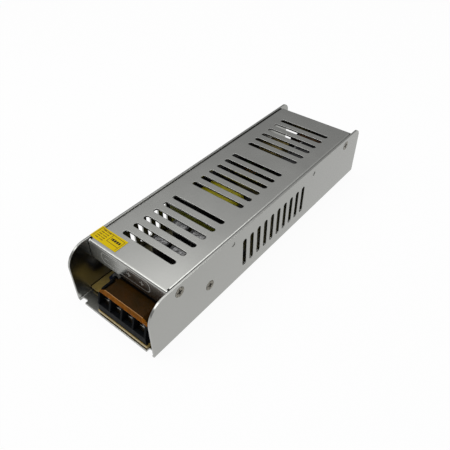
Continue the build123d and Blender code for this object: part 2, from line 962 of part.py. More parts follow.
former_plane = Plane(
    origin=(transformer_x, transformer_from_middle - former_length / 2 + former_gap, core_middle),
    x_dir=(1, 0, 0),
    z_dir=(0, 1, 0),
)
former_width = core_centre_leg + 2 * (former_gap + former_wall)
former_height = core_stack + 2 * (former_gap + former_wall)
flange_width = core_centre_leg + 2 * window_width - 2 * former_gap
former_span = former_length - 2 * former_gap
winding_width = flange_width - 2 * former_gap
with BuildPart() as transformer_former:
    with BuildSketch(former_plane):
        Rectangle(former_width, former_height)
    extrude(amount=former_span)
    for flange_start in (0, former_span - former_wall):
        with BuildSketch(former_plane.offset(flange_start)):
            Rectangle(flange_width, winding_height)
        extrude(amount=former_wall)
    with BuildSketch(former_plane):
        Rectangle(core_centre_leg + 2 * former_gap, core_stack + 2 * former_gap)
    extrude(amount=former_span, mode=Mode.SUBTRACT)
transformer_former.part.label = "transformer_former"
export_step(transformer_former.part, "parts/transformer_former.step")

with BuildPart() as transformer_rails:
    with BuildSketch(Plane.XY.offset(board_top)):
        with Locations((transformer_x, transformer_from_middle)):
            with GridLocations(0, core_length - core_back, 1, 2):
                Rectangle(core_width - 2 * core_leg, core_back)
    extrude(amount=former_rail_height)
transformer_rails.part.label = "transformer_rails"
export_step(transformer_rails.part, "parts/transformer_rails.step")

with BuildPart() as transformer_winding:
    with BuildSketch(former_plane.offset(former_wall)):
        RectangleRounded(winding_width, winding_height - 2 * former_gap, winding_round)
        Rectangle(former_width, former_height, mode=Mode.SUBTRACT)
    extrude(amount=former_span - 2 * former_wall)
transformer_winding.part.label = "transformer_winding"
export_step(transformer_winding.part, "parts/transformer_winding.step")


def aluminium_cans(bases, radius, height):
    """Crimped cans with a scored cross on the closed end."""
    can_radius = radius - sleeve_thickness
    crimp_start = 3 * can_crimp
    crimp_end = crimp_start + 4 * can_crimp
    with BuildPart() as cans:
        for base in bases:
            with BuildSketch(axial_plane(base)):
                with BuildLine():
                    Polyline(
                        (0, 0),
                        (can_radius, 0),
                        (can_radius, crimp_start),
                        (can_radius - can_crimp, (crimp_start + crimp_end) / 2),
                        (can_radius, crimp_end),
                        (can_radius, height - can_crimp),
                        (can_radius - can_crimp, height),
                        (0, height),
                        close=True,
                    )
                make_face()
            revolve(axis=Axis(base.origin, base.z_dir))
            with BuildSketch(base.offset(height)):
                Rectangle(radius, vent_score, rotation=45)
                Rectangle(vent_score, radius, rotation=45)
            extrude(amount=-vent_score, mode=Mode.SUBTRACT)
    return cans


def can_sleeves(bases, radius, height):
    """Shrink sleeves that grip the cans and fold over their closed end."""
    with BuildPart() as sleeves:
        for base in bases:
            with BuildSketch(base.offset(can_crimp)):
                Circle(radius)
                Circle(radius - sleeve_thickness, mode=Mode.SUBTRACT)
            extrude(amount=height - can_crimp)
            with BuildSketch(base.offset(height)):
                Circle(radius)
                Circle(radius - sleeve_fold, mode=Mode.SUBTRACT)
            extrude(amount=sleeve_thickness)
    return sleeves


output_can_bases = [
    Plane(origin=(output_cans_x + column, output_cans_y + row, board_top), z_dir=(0, 0, 1))
    for column in (-output_can_pitch_x / 2, output_can_pitch_x / 2)
    for row in (-output_can_pitch_y / 2, output_can_pitch_y / 2)
]
output_capacitor_cans = aluminium_cans(output_can_bases, output_can_radius, output_can_height)
output_capacitor_cans.part.label = "output_capacitor_cans"
export_step(output_capacitor_cans.part, "parts/output_capacitor_cans.step")

output_capacitor_sleeves = can_sleeves(output_can_bases, output_can_radius, output_can_height)
output_capacitor_sleeves.part.label = "output_capacitor_sleeves"
export_step(output_capacitor_sleeves.part, "parts/output_capacitor_sleeves.step")

bulk_can_base = Plane(
    origin=(bulk_can_x, bulk_can_rear, bulk_can_z), x_dir=(1, 0, 0), z_dir=(0, -1, 0)
)
bulk_capacitor_can = aluminium_cans([bulk_can_base], bulk_can_radius, bulk_can_length)
bulk_capacitor_can.part.label = "bulk_capacitor_can"
export_step(bulk_capacitor_can.part, "parts/bulk_capacitor_can.step")

bulk_capacitor_sleeve = can_sleeves([bulk_can_base], bulk_can_radius, bulk_can_length)
bulk_capacitor_sleeve.part.label = "bulk_capacitor_sleeve"
export_step(bulk_capacitor_sleeve.part, "parts/bulk_capacitor_sleeve.step")


# Film capacitor: moulded box on the input side
film_x = -inner_half + film_from_left + film_width / 2
film_y = rear - film_from_rear - film_length / 2
with BuildPart() as film_capacitor:
    with BuildSketch(Plane.XY.offset(board_top)):
        with Locations((film_x, film_y)):
            RectangleRounded(film_width, film_length, former_wall)
    extrude(amount=film_height)
film_capacitor.part.label = "film_capacitor"
export_step(film_capacitor.part, "parts/film_capacitor.step")


def ring_cores(places, radius, bore, height, bottom):
    """Ferrite rings lying flat."""
    with BuildPart() as rings:
        with BuildSketch(Plane.XY.offset(bottom)):
            with Locations(*places):
                Circle(radius)
                Circle(bore, mode=Mode.SUBTRACT)
        extrude(amount=height)
    return rings


def ring_windings(places, radius, bore, height, bottom, wire, openings):
    """Wire wrapped round the rings, left open at the turns named in degrees."""
    with BuildPart() as windings:
        with BuildSketch(Plane.XY.offset(bottom - wire)):
            with Locations(*places):
                Circle(radius + wire)
                Circle(bore - wire, mode=Mode.SUBTRACT)
        extrude(amount=height + 2 * wire)
        with BuildSketch(Plane.XY.offset(bottom)):
            with Locations(*places):
                Circle(radius)
                Circle(bore, mode=Mode.SUBTRACT)
        extrude(amount=height, mode=Mode.SUBTRACT)
        with BuildSketch(Plane.XY.offset(bottom - wire)):
            with Locations(*places):
                for turn in openings:
                    Rectangle(radius + wire, winding_opening, turn, align=(Align.MIN, Align.CENTER))
        extrude(amount=height + 2 * wire, mode=Mode.SUBTRACT)
    return windings


choke_spots = [(side * choke_pitch / 2, front + chokes_from_front) for side in (-1, 1)]
choke_sizes = (choke_core_radius, choke_core_bore, choke_core_height, choke_core_z)
output_choke_cores = ring_cores(choke_spots, *choke_sizes)
output_choke_cores.part.label = "output_choke_cores"
export_step(output_choke_cores.part, "parts/output_choke_cores.step")

output_choke_windings = ring_windings(choke_spots, *choke_sizes, choke_wire, [0])
output_choke_windings.part.label = "output_choke_windings"
export_step(output_choke_windings.part, "parts/output_choke_windings.step")

line_spot = [(line_choke_x, line_choke_y)]
line_sizes = (line_core_radius, line_core_bore, line_core_height, line_core_z)
line_choke_core = ring_cores(line_spot, *line_sizes)
line_choke_core.part.label = "line_choke_core"
export_step(line_choke_core.part, "parts/line_choke_core.step")

line_choke_windings = ring_windings(line_spot, *line_sizes, line_wire, [0, 180])
line_choke_windings.part.label = "line_choke_windings"
export_step(line_choke_windings.part, "parts/line_choke_windings.step")


# Aluminium bars screwed to the inside of the side walls
def heat_bar(side, middle_y, length):
    """Bar against one side wall, drilled for its wall screw and device screws."""
    with BuildPart() as bar:
        with BuildSketch(wall_face(side).offset(-chassis_sheet)):
            with Locations((side * middle_y, bar_bottom + bar_height / 2)):
                Rectangle(length, bar_height)
            with Locations((side * middle_y, bar_screw_height)):
                Circle(wall_screw_radius + wall_hole_gap, mode=Mode.SUBTRACT)
            with Locations((side * middle_y, bar_bottom + device_screw_height)):
                with GridLocations(device_pitch, 0, 2, 1):
                    Circle(device_screw_radius + device_screw_gap, mode=Mode.SUBTRACT)
        extrude(amount=-bar_thickness)
    return bar


def device_plane(side):
    """Upright plane on the inner face of a heat bar, facing into the case."""
    face = inner_half - bar_thickness
    return Plane(origin=(side * face, 0, 0), x_dir=(0, -side, 0), z_dir=(-side, 0, 0))


def device_pads(side, middle_y):
    """Soft insulating pad behind each device."""
    with BuildPart() as pads:
        with BuildSketch(device_plane(side)):
            with Locations((-side * middle_y, bar_bottom + bar_height / 2)):
                with GridLocations(device_pitch, 0, 2, 1):
                    Rectangle(device_width + 2 * pad_margin, bar_height)
            with Locations((-side * middle_y, bar_bottom + device_screw_height)):
                with GridLocations(device_pitch, 0, 2, 1):
                    Circle(device_screw_radius + device_screw_gap, mode=Mode.SUBTRACT)
        extrude(amount=pad_thickness)
    return pads


def clamped_devices(side, middle_y, leads):
    """Tab, moulded body and three leads of each power device."""
    with BuildPart() as devices:
        with BuildSketch(device_plane(side).offset(pad_thickness)):
            with Locations((-side * middle_y, bar_bottom + bar_height / 2)):
                with GridLocations(device_pitch, 0, 2, 1):
                    Rectangle(device_width, bar_height)
            with Locations((-side * middle_y, bar_bottom + device_screw_height)):
                with GridLocations(device_pitch, 0, 2, 1):
                    Circle(device_screw_radius + device_screw_gap, mode=Mode.SUBTRACT)
        extrude(amount=device_tab)
        with BuildSketch(device_plane(side).offset(pad_thickness)):
            with Locations((-side * middle_y, bar_bottom + device_body_height / 2)):
                with GridLocations(device_pitch, 0, 2, 1):
                    Rectangle(device_width, device_body_height)
        extrude(amount=device_thickness)
        with BuildSketch(Plane.XY.offset(lead_end)):
            with Locations(*leads):
                Circle(lead_radius)
        extrude(amount=bar_bottom - lead_end)
    return devices


def device_screws(side, middle_y):
    """Pan-head screws that clamp the devices to their bar."""
    seat = pad_thickness + device_tab
    with BuildPart() as screws:
        with BuildSketch(device_plane(side).offset(seat)):
            with Locations((-side * middle_y, bar_bottom + device_screw_height)):
                with GridLocations(device_pitch, 0, 2, 1):
                    Circle(device_head_radius)
        extrude(amount=device_head_height)
        with BuildSketch(device_plane(side).offset(seat)):
            with Locations((-side * middle_y, bar_bottom + device_screw_height)):
                with GridLocations(device_pitch, 0, 2, 1):
                    Circle(device_screw_radius)
        extrude(amount=-(seat + bar_thickness))
        with BuildSketch(device_plane(side).offset(seat + device_head_height)):
            with Locations((-side * middle_y, bar_bottom + device_screw_height)):
                with GridLocations(device_pitch, 0, 2, 1):
                    Rectangle(recess_arm, recess_slot)
                    Rectangle(recess_slot, recess_arm)
        extrude(amount=-recess_depth, mode=Mode.SUBTRACT)
    return screws


output_heat_bar = heat_bar(1, output_bar_y, output_bar_length)
output_heat_bar.part.label = "output_heat_bar"
export_step(output_heat_bar.part, "parts/output_heat_bar.step")

switch_heat_bar = heat_bar(-1, switch_bar_screw_from_middle, switch_bar_length)
switch_heat_bar.part.label = "switch_heat_bar"
export_step(switch_heat_bar.part, "parts/switch_heat_bar.step")

output_pads = device_pads(1, output_bar_y)
output_pads.part.label = "output_pads"
export_step(output_pads.part, "parts/output_pads.step")

switch_pads = device_pads(-1, switch_bar_screw_from_middle)
switch_pads.part.label = "switch_pads"
export_step(switch_pads.part, "parts/switch_pads.step")

output_diodes = clamped_devices(1, output_bar_y, output_leads)
output_diodes.part.label = "output_diodes"
export_step(output_diodes.part, "parts/output_diodes.step")

switching_transistors = clamped_devices(-1, switch_bar_screw_from_middle, switch_leads)
switching_transistors.part.label = "switching_transistors"
export_step(switching_transistors.part, "parts/switching_transistors.step")

output_device_screws = device_screws(1, output_bar_y)
output_device_screws.part.label = "output_device_screws"
export_step(output_device_screws.part, "parts/output_device_screws.step")

switch_device_screws = device_screws(-1, switch_bar_screw_from_middle)
switch_device_screws.part.label = "switch_device_screws"
export_step(switch_device_screws.part, "parts/switch_device_screws.step")


# Bridge rectifier: flat moulding standing on four leads
with BuildPart() as bridge_rectifier:
    with BuildSketch(Plane.XY.offset(board_top + bridge_lift)):
        with Locations((bridge_x, bridge_y)):
            Rectangle(bridge_thickness, bridge_width)
    extrude(amount=bridge_height)
    corner = bridge_rectifier.edges().filter_by(Axis.X).group_by(Axis.Z)[-1].sort_by(Axis.Y)[-1]
    chamfer(corner, bridge_thickness / 2)
    with BuildSketch(Plane.XY.offset(lead_end)):
        with Locations(*bridge_leads):
            Circle(lead_radius)
    extrude(amount=board_top + bridge_lift - lead_end)
bridge_rectifier.part.label = "bridge_rectifier"
export_step(bridge_rectifier.part, "parts/bridge_rectifier.step")


def upright_discs(spots):
    """Coated discs standing on two leads each."""
    with BuildPart() as discs:
        for spot in spots:
            disc_plane = Plane(
                origin=(spot[0] - disc_thickness / 2, spot[1], board_top + disc_lift + disc_radius),
                x_dir=(0, 1, 0),
                z_dir=(1, 0, 0),
            )
            with BuildSketch(disc_plane):
                Circle(disc_radius)
            extrude(amount=disc_thickness)
            rims = discs.edges().filter_by(GeomType.CIRCLE).sort_by(Axis.Y)[-2:]
            fillet(rims, disc_thickness / 4)
            with BuildSketch(Plane.XY.offset(lead_end)):
                with Locations(*disc_leads(spot)):
                    Circle(lead_radius)
            extrude(amount=board_top + disc_lift + disc_radius - lead_end)
    return discs


surge_thermistor = upright_discs([thermistor_spot])
surge_thermistor.part.label = "surge_thermistor"
export_step(surge_thermistor.part, "parts/surge_thermistor.step")

safety_capacitors = upright_discs(safety_spots)
safety_capacitors.part.label = "safety_capacitors"
export_step(safety_capacitors.part, "parts/safety_capacitors.step")


# Line fuse lying beside the input terminals
fuse_end = rear - fuse_from_rear + fuse_length / 2
fuse_plane = Plane(
    origin=(inner_half - fuse_from_right, fuse_end, board_top + fuse_radius),
    x_dir=(1, 0, 0),
    z_dir=(0, -1, 0),
)
with BuildPart() as line_fuse:
    with BuildSketch(fuse_plane):
        Circle(fuse_radius - sleeve_thickness)
    extrude(amount=fuse_length)
    for cap_start in (0, fuse_length - fuse_cap):
        with BuildSketch(fuse_plane.offset(cap_start)):
            Circle(fuse_radius)
        extrude(amount=fuse_cap)
line_fuse.part.label = "line_fuse"
export_step(line_fuse.part, "parts/line_fuse.step")


# Control chip and opto-coupler: moulded bodies on bent leads
def moulded_chip(middle_x, middle_y, width, length, pins):
    """Body with a row of flat leads down each long side."""
    with BuildPart() as chip:
        with BuildSketch(Plane.XY.offset(board_top + chip_lift)):
            with Locations((middle_x, middle_y)):
                Rectangle(width, length)
        extrude(amount=chip_height)
        with BuildSketch(Plane.XY.offset(board_top)):
            with Locations((middle_x, middle_y)):
                with GridLocations(width, device_lead_pitch, 2, pins):
                    Rectangle(lead_radius, 3 * lead_radius)
        extrude(amount=chip_lift + chip_height / 2)
    return chip


control_chip = moulded_chip(
    -inner_half + chip_from_left,
    chip_from_middle,
    chip_width,
    chip_length,
    chip_pins_per_side,
)
control_chip.part.label = "control_chip"
export_step(control_chip.part, "parts/control_chip.step")

opto_coupler = moulded_chip(
    inner_half - coupler_from_right,
    front + coupler_from_front,
    coupler_length,
    coupler_width,
    coupler_pins_per_side,
)
opto_coupler.part.label = "opto_coupler"
export_step(opto_coupler.part, "parts/opto_coupler.step")


# Insulating barrier that stands between the output and mains parts
with BuildPart() as barrier_sheet:
    with BuildSketch(Plane.XY.offset(board_top)):
        with Locations((0, front + barrier_from_front)):
            Rectangle(2 * (inner_half - barrier_side_gap), barrier_thickness)
    extrude(amount=barrier_height)
barrier_sheet.part.label = "barrier_sheet"
export_step(barrier_sheet.part, "parts/barrier_sheet.step")


# Output voltage trimmer: square body and a turning slotted rotor
with BuildPart() as trimmer_body:
    with BuildSketch(Plane.XY.offset(board_top)):
        with Locations((pot_x, pot_y)):
            RectangleRounded(pot_size, pot_size, former_wall)
    extrude(amount=pot_height)
    with BuildSketch(Plane.XY.offset(pot_top)):
        with Locations((pot_x, pot_y)):
            Circle(rotor_stem_radius + rotor_gap)
    extrude(amount=-(rotor_stem + rotor_gap), mode=Mode.SUBTRACT)
trimmer_body.part.label = "trimmer_body"
export_step(trimmer_body.part, "parts/trimmer_body.step")

with BuildPart() as trimmer_rotor:
    with BuildSketch(Plane.XY.offset(pot_top + rotor_gap)):
        with Locations((pot_x, pot_y)):
            Circle(rotor_radius)
    extrude(amount=rotor_height)
    with BuildSketch(Plane.XY.offset(pot_top + rotor_gap)):
        with Locations((pot_x, pot_y)):
            Circle(rotor_stem_radius)
    extrude(amount=-rotor_stem)
    with BuildSketch(Plane.XY.offset(pot_top + rotor_gap + rotor_height)):
        with Locations((pot_x, pot_y)):
            Rectangle(recess_arm, recess_slot)
            Rectangle(recess_slot, recess_arm / 2)
    extrude(amount=-rotor_height / 2, mode=Mode.SUBTRACT)
trimmer_rotor.part.label = "trimmer_rotor"
export_step(trimmer_rotor.part, "parts/trimmer_rotor.step")
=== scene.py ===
"""Looks of a slim enclosed power supply: finishes, wound wire, print, camera and light.

Lengths are in metres. X runs across the case, Y from the output end to the input end, Z up.
"""

import json
import math

import bpy
from mathutils import Matrix, Vector


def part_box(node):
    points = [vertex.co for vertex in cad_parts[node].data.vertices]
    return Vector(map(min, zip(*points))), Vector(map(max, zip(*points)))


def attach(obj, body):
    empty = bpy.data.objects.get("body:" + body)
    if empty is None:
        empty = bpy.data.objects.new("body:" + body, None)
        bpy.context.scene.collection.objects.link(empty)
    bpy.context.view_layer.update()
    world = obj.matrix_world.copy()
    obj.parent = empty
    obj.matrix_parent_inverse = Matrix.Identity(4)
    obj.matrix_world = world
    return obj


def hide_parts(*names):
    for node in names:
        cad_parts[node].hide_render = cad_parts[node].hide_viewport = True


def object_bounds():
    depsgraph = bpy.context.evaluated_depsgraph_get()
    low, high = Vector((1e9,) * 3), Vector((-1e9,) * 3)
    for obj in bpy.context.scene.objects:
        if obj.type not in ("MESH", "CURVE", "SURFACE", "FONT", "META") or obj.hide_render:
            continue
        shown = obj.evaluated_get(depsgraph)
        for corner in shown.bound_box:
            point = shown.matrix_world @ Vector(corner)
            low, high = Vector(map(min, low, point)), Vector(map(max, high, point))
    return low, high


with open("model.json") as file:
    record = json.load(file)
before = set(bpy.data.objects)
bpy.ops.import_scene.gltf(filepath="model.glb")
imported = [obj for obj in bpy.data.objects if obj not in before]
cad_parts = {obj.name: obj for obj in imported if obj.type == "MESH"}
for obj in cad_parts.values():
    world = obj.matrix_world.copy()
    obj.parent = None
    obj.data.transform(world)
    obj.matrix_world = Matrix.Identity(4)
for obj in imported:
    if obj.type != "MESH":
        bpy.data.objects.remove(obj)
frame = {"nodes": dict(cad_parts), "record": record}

cad_low, cad_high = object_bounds()
MM = 0.001

# Camera, as the photograph was taken
CAMERA_AZIMUTH = math.radians(39.224)
CAMERA_ELEVATION = math.radians(42.147)
CAMERA_ROLL = math.radians(-0.314)
CAMERA_DISTANCE = 301.681 * MM
CAMERA_SIDE = -6.002 * MM
CAMERA_RISE = 0.378 * MM
CAMERA_LENS = 37.857
CAMERA_SENSOR = 36.0

# Floor, and the sky's levels from low to high
FLOOR_SIZE = 6.0
FLOOR_DROP = 0.05 * MM
FLOOR_WHITE = (0.86, 0.86, 0.86)
FLOOR_GLOW = 1.02
FLOOR_GLOW_SHARE = 0.92
SKY_LEVELS = ((0.0, 0.40), (0.40, 0.40), (0.56, 0.55), (0.72, 0.98), (1.0, 1.2))
SKY_BLUE = 1.01
SKY_ON_MATT = 0.5

# Softened edges of folded sheet
EDGE_ROUND = 0.35 * MM

# Mill grain of the bare sheet
GRAIN_WIDTH = 0.45 * MM
GRAIN_STRETCH = 0.05
GRAIN_SPECK = 0.9 * MM
GRAIN_CLOUD = 22.0 * MM
GRAIN_DEPTH = 0.0012 * MM
STREAK_GLOSS = 0.06
CLOUD_GLOSS = 0.18
# Painted shade: the sheet's tone falls to this share from the output end to the input end
REAR_SHADE = 0.86

# Fine grain of mouldings and coatings
MOULD_GRAIN = 0.18 * MM

# Painted light on the cover: painted shade in the groove beside its right bend, painted highlights on its
# left bend and round its slots
GROOVE_SHADE_WIDTH = 0.65 * MM
GROOVE_SHADE_REAR = GROOVE_SHADE_WIDTH / 4
GROOVE_SHADE_DEPTH = 4 * GROOVE_SHADE_WIDTH
# Painted shade tone of the groove
GROOVE_SHADE_TONE = (0.02, 0.02, 0.02)
BEND_SHINE = 1.1 * MM
BEND_SHINE_END = 0.6
BEND_SHINE_REAR = 0.1
SLOT_RIM = 0.3 * MM
UPRIGHT_FACE = 0.2
# Painted highlight tone for the left bend and the slots' rims
PAINTED_HIGHLIGHT_TONE = (0.75, 0.75, 0.73)
HIGHLIGHT_ROUGHNESS = 0.6

# Folded lip of the amber lids, with painted light along the lip and a painted highlight on its fold
LID_LIP = 1.25 * MM
LID_SHINE = 0.25 * MM
LID_LIP_LIT_LOW = (0.32, 0.12, 0.02)
LID_LIP_LIT_HIGH = (0.56, 0.20, 0.016)
LID_LIP_STREAK = 2.5 * MM
LID_FOLD_HIGHLIGHT = (0.95, 0.50, 0.20)

# Circuit board, with painted shade over its middle between its two ends
BOARD_FIBRE = 0.5 * MM
BOARD_CLOUD = 9.0 * MM
BOARD_SHADE_WITHIN = 70.0 * MM
BOARD_LIT_PAST = 84.0 * MM
BOARD_SHADE_TONE = (0.10, 0.085, 0.02)

# Printed sticker
STICKER_TURN = math.radians(1.6)
STICKER_MARGIN = 0.9 * MM
RULE_WIDTH = 0.34 * MM
CELL_LEFT = -0.02
CELL_FRONT = -0.48
WORD_LENGTH = 0.9 * MM
WORD_ROWS = 5
BOLD_BAR = 0.8 * MM
BOLD_REACH = 0.375
BOLD_HEIGHT = 0.22
FINE_INK = (0.20, 0.11, 0.012)
BOLD_INK = (0.012, 0.011, 0.008)

# Frame and signs marked on the cover's front lip
LIP_FRAME_MIDDLE = -1.4 * MM
LIP_FRAME_HALF = 17.5 * MM
LIP_FRAME_HEIGHT = 7.2 * MM
LIP_FRAME_ROUND = 3.0 * MM
LIP_LINE = 0.42 * MM
LIP_MARK_TONE = (0.5, 0.5, 0.48)
LIP_MARK_GLOSS = 0.5
LIP_SIGNS = ((-15.0 * MM, False), (-7.5 * MM, False), (1.5 * MM, True), (10.5 * MM, True))
SIGN_ARM = 1.5 * MM

# Bores of the ring cores that the wire is wound through
RING_BORES = {"output_choke_cores": 2.8 * MM, "line_choke_core": 4.9 * MM}


# Small helpers for node trees
def node(tree, kind, inputs=None, **settings):
    """Add a node; an input that is a socket is linked, and any other is set."""
    made = tree.nodes.new(kind)
    for name, value in settings.items():
        setattr(made, name, value)
    for name, value in (inputs or {}).items():
        if isinstance(value, bpy.types.NodeSocket):
            tree.links.new(value, made.inputs[name])
        else:
            made.inputs[name].default_value = value
    return made


def calc(tree, operation, first, second=0.0, third=0.0):
    """One step of arithmetic on values."""
    inputs = {0: first, 1: second, 2: third}
    return node(tree, "ShaderNodeMath", inputs, operation=operation).outputs[0]


def rescale(tree, value, low, high, new_low, new_high):
    """Map a value from one range to another, held at both ends."""
    inputs = {0: value, 1: low, 2: high, 3: new_low, 4: new_high}
    return node(tree, "ShaderNodeMapRange", inputs).outputs[0]


def blend_colours(tree, amount, first, second):
    """Mix two colours by a value from 0 to 1."""
    mixer = node(tree, "ShaderNodeMix", data_type="RGBA")
    for socket, value in ((mixer.inputs[0], amount), (mixer.inputs[6], first), (mixer.inputs[7], second)):
        if isinstance(value, bpy.types.NodeSocket):
            tree.links.new(value, socket)
        else:
            socket.default_value = value
    return mixer.outputs[2]


def band(tree, value, start, end):
    """One where a value lies between two limits, and zero elsewhere."""
    above = calc(tree, "GREATER_THAN", value, start)
    below = calc(tree, "LESS_THAN", value, end)
    return calc(tree, "MULTIPLY", above, below)


def either(tree, masks):
    """The largest of several masks."""
    total = masks[0]
    for mask in masks[1:]:
        total = calc(tree, "MAXIMUM", total, mask)
    return total


def object_place(tree):
    """Object coordinates of the point being shaded."""
    return node(tree, "ShaderNodeTexCoord").outputs["Object"]


def noise(tree, place, size, detail=3.0, rough=0.55):
    """Noise from 0 to 1 with features of about this size."""
    inputs = {"Vector": place, "Scale": 1.0 / size, "Detail": detail, "Roughness": rough}
    return node(tree, "ShaderNodeTexNoise", inputs).outputs[0]


def shade(colour):
    """A colour with its alpha added."""
    return (*colour, 1.0)


# Node groups for the effects that several finishes share
def start_group(name, inputs, outputs):
    """New group with its sockets; returns its tree, inputs and outputs."""
    tree = bpy.data.node_groups.new(name, "ShaderNodeTree")
    for label, kind, value in inputs:
        socket = tree.interface.new_socket(label, in_out="INPUT", socket_type=kind)
        socket.default_value = value
    for label, kind in outputs:
        tree.interface.new_socket(label, in_out="OUTPUT", socket_type=kind)
    return tree, tree.nodes.new("NodeGroupInput").outputs, tree.nodes.new("NodeGroupOutput").inputs


def make_sheet_grain():
    """Mill grain of rolled sheet: fine streaks over soft clouds, with painted shade darkening it toward
    the rear.
    """
    tree, given, result = start_group(
        "sheet_grain",
        [
            ("Colour", "NodeSocketColor", shade((0.5, 0.5, 0.5))),
            ("Streaks", "NodeSocketFloat", 0.1),
            ("Clouds", "NodeSocketFloat", 0.1),
            ("Roughness", "NodeSocketFloat", 0.3),
        ],
        [("Colour", "NodeSocketColor"), ("Roughness", "NodeSocketFloat"), ("Height", "NodeSocketFloat")],
    )
    place = object_place(tree)
    along_case = {"Vector": place, "Scale": (1.0, GRAIN_STRETCH, 1.0)}
    stretched = node(tree, "ShaderNodeMapping", along_case).outputs[0]
    streak = noise(tree, stretched, GRAIN_WIDTH, detail=4.0, rough=0.6)
    cloud = noise(tree, place, GRAIN_CLOUD, detail=3.0, rough=0.5)
    speck = noise(tree, place, GRAIN_SPECK, detail=2.0, rough=0.6)
    streak_off = calc(tree, "SUBTRACT", streak, 0.5)
    cloud_off = calc(tree, "SUBTRACT", cloud, 0.5)
    speck_off = calc(tree, "SUBTRACT", speck, 0.5)
    light = calc(tree, "MULTIPLY_ADD", streak_off, given["Streaks"], 1.0)
    light = calc(tree, "MULTIPLY_ADD", cloud_off, given["Clouds"], light)
    light = calc(tree, "MULTIPLY_ADD", speck_off, given["Streaks"], light)
    along = node(tree, "ShaderNodeSeparateXYZ", {0: place}).outputs["Y"]
    # Painted shade, darker toward the input end
    light = calc(tree, "MULTIPLY", light, rescale(tree, along, cad_low[1], cad_high[1], 1.0, REAR_SHADE))
    grey = node(tree, "ShaderNodeCombineXYZ", {0: light, 1: light, 2: light}).outputs[0]
    brighter = node(
        tree,
        "ShaderNodeVectorMath",
        {0: given["Colour"], 1: grey},
        operation="MULTIPLY",
    ).outputs[0]
    rough = calc(tree, "MULTIPLY_ADD", streak_off, STREAK_GLOSS, given["Roughness"])
    rough = calc(tree, "MULTIPLY_ADD", cloud_off, CLOUD_GLOSS, rough)
    tree.links.new(brighter, result["Colour"])
    tree.links.new(rough, result["Roughness"])
    tree.links.new(streak, result["Height"])
    return tree


def make_soft_mottle():
    """Uneven tone and gloss of plastics and coatings."""
    tree, given, result = start_group(
        "soft_mottle",
        [
            ("Colour", "NodeSocketColor", shade((0.5, 0.5, 0.5))),
            ("Other colour", "NodeSocketColor", shade((0.4, 0.4, 0.4))),
            ("Patch size", "NodeSocketFloat", 4.0 * MM),
            ("Roughness", "NodeSocketFloat", 0.4),
            ("Roughness change", "NodeSocketFloat", 0.1),
        ],
        [("Colour", "NodeSocketColor"), ("Roughness", "NodeSocketFloat"), ("Height", "NodeSocketFloat")],
    )
    place = object_place(tree)
    patch_scale = calc(tree, "DIVIDE", 1.0, given["Patch size"])
    patch_inputs = {"Vector": place, "Scale": patch_scale, "Detail": 4.0}
    patch = node(tree, "ShaderNodeTexNoise", patch_inputs).outputs[0]
    patch = rescale(tree, patch, 0.3, 0.7, 0.0, 1.0)
    grain = noise(tree, place, MOULD_GRAIN, detail=2.0, rough=0.6)
    colour = blend_colours(tree, patch, given["Colour"], given["Other colour"])
    centred = calc(tree, "SUBTRACT", patch, 0.5)
    rough = calc(tree, "MULTIPLY_ADD", centred, given["Roughness change"], given["Roughness"])
    tree.links.new(colour, result["Colour"])
    tree.links.new(rough, result["Roughness"])
    tree.links.new(grain, result["Height"])
    return tree


SHEET_GRAIN = make_sheet_grain()
SOFT_MOTTLE = make_soft_mottle()


# Finishes, one for each slot of the record
def new_finish(name):
    """Empty material with a Principled shader; returns the material, its tree and the shader."""
    material = bpy.data.materials.new(name)
    material.use_nodes = True
    tree = material.node_tree
    tree.nodes.clear()
    shader = tree.nodes.new("ShaderNodeBsdfPrincipled")
    output = tree.nodes.new("ShaderNodeOutputMaterial")
    tree.links.new(shader.outputs["BSDF"], output.inputs["Surface"])
    return material, tree, shader


def use_group(tree, group, values):
    """Place a shared effect with its own values."""
    made = tree.nodes.new("ShaderNodeGroup")
    made.node_tree = group
    for name, value in values.items():
        if isinstance(value, bpy.types.NodeSocket):
            tree.links.new(value, made.inputs[name])
        else:
            made.inputs[name].default_value = value
    return made.outputs


def add_bump(tree, shader, height, depth, edge=0.0):
    """Relief of this depth from a height between 0 and 1, over edges softened by a radius."""
    bump = node(tree, "ShaderNodeBump", {"Height": height, "Distance": depth})
    if edge:
        softened = node(tree, "ShaderNodeBevel", {"Radius": edge}, samples=6)
        tree.links.new(softened.outputs[0], bump.inputs["Normal"])
    tree.links.new(bump.outputs[0], shader.inputs["Normal"])


def sheet_metal(name, colour, roughness, streaks, clouds, marks=None, painted_light=None):
    """Bare rolled sheet with its grain along the case, and with marks, or with painted groove shade and
    painted highlights, if given.
    """
    material, tree, shader = new_finish(name)
    values = {"Colour": shade(colour), "Streaks": streaks, "Clouds": clouds, "Roughness": roughness}
    grain = use_group(tree, SHEET_GRAIN, values)
    tone, gloss = grain["Colour"], grain["Roughness"]
    if marks:
        mask = marks(tree)
        tone = blend_colours(tree, mask, tone, shade(LIP_MARK_TONE))
        gloss = rescale(tree, mask, 0.0, 1.0, gloss, LIP_MARK_GLOSS)
    # Painted shade in the right groove, then painted highlights on the left bend and the slots' rims
    if painted_light:
        tone = blend_colours(tree, painted_light(tree), tone, shade(GROOVE_SHADE_TONE))
        bright = either(tree, [sheared_edge(tree), bend_highlight(tree)])
        tone = blend_colours(tree, bright, tone, shade(PAINTED_HIGHLIGHT_TONE))
        gloss = rescale(tree, bright, 0.0, 1.0, gloss, HIGHLIGHT_ROUGHNESS)
    shader.inputs["Metallic"].default_value = 1.0
    tree.links.new(tone, shader.inputs["Base Color"])
    tree.links.new(gloss, shader.inputs["Roughness"])
    add_bump(tree, shader, grain["Height"], GRAIN_DEPTH, EDGE_ROUND)
    return material


